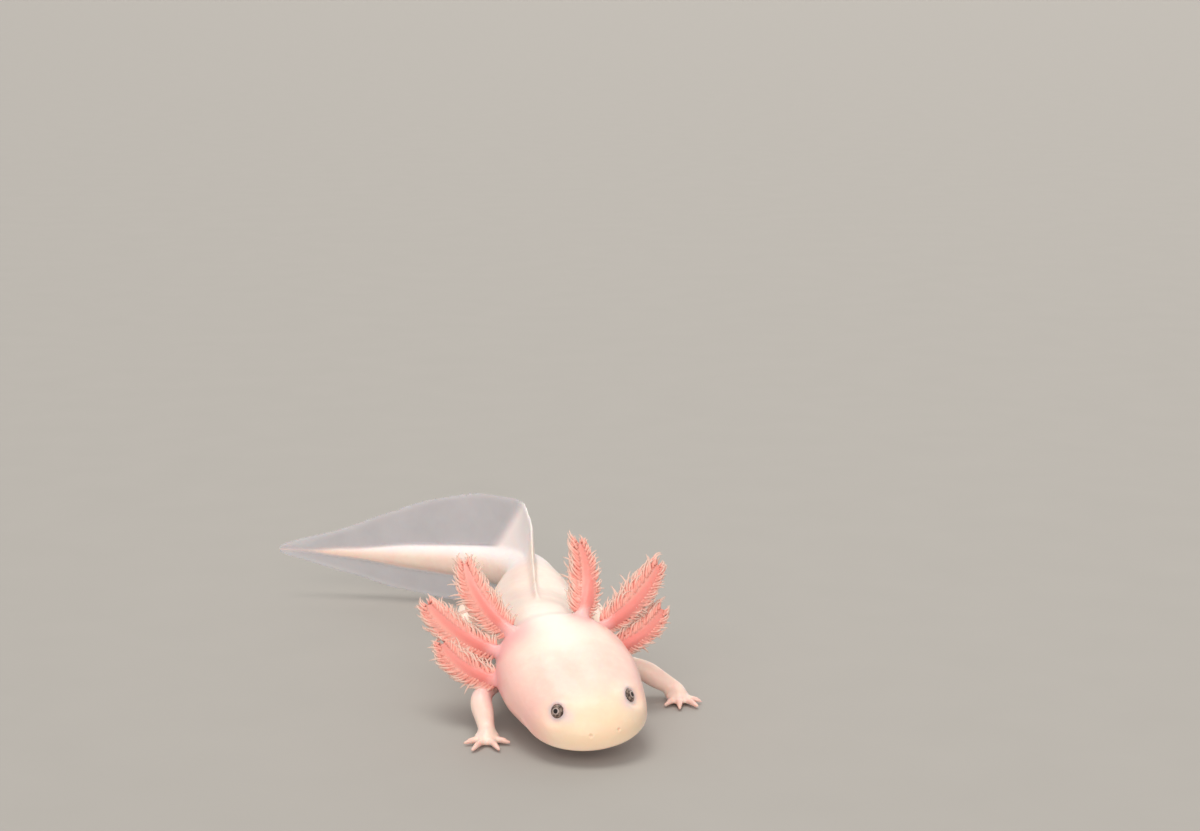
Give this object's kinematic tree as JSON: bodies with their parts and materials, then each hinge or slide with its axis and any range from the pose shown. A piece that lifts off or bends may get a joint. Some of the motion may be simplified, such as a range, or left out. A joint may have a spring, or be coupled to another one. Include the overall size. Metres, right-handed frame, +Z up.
{
  "type": "axolotl",
  "caption": "Still model of a pale axolotl standing with its broad head lowered, feathery outer gills spread and its finned tail swung to one side.",
  "frame": {"origin": "on the floor, in the middle of the flat on which the belly rests", "axes": "+Z up; the nose points towards -Y and the animal's left side is towards +X; the tail swings towards -X"},
  "size_m": [0.0765, 0.1091, 0.0286],
  "materials": {
    "body_skin": "moist, satin",
    "limb_skin": "moist, satin",
    "fin_membrane": "thin, see-through, moist",
    "gill_flesh": "moist, soft",
    "eye_cornea": "clear gloss over dark"
  },
  "bodies": {
    "root": {"head": "body_skin", "lower_jaw": "body_skin", "neck": "body_skin", "trunk": "body_skin", "tail_base": "body_skin", "tail_middle": "body_skin", "tail_tip": "body_skin", "eye_left": "eye_cornea", "eye_right": "eye_cornea", "back_fin": "fin_membrane", "tail_fin_upper_base": "fin_membrane", "tail_fin_lower_base": "fin_membrane", "tail_fin_upper_middle": "fin_membrane", "tail_fin_lower_middle": "fin_membrane", "tail_fin_upper_tip": "fin_membrane", "tail_fin_lower_tip": "fin_membrane", "foreleg_left_upper": "limb_skin", "foreleg_left_lower": "limb_skin", "foreleg_left_hand": "limb_skin", "foreleg_right_upper": "limb_skin", "foreleg_right_lower": "limb_skin", "foreleg_right_hand": "limb_skin", "hindleg_left_upper": "limb_skin", "hindleg_left_lower": "limb_skin", "hindleg_left_foot": "limb_skin", "hindleg_right_upper": "limb_skin", "hindleg_right_lower": "limb_skin", "hindleg_right_foot": "limb_skin", "gill_left_upper": "gill_flesh", "gill_left_middle": "gill_flesh", "gill_left_lower": "gill_flesh", "gill_right_upper": "gill_flesh", "gill_right_middle": "gill_flesh", "gill_right_lower": "gill_flesh"}
  },
  "joints": []
}
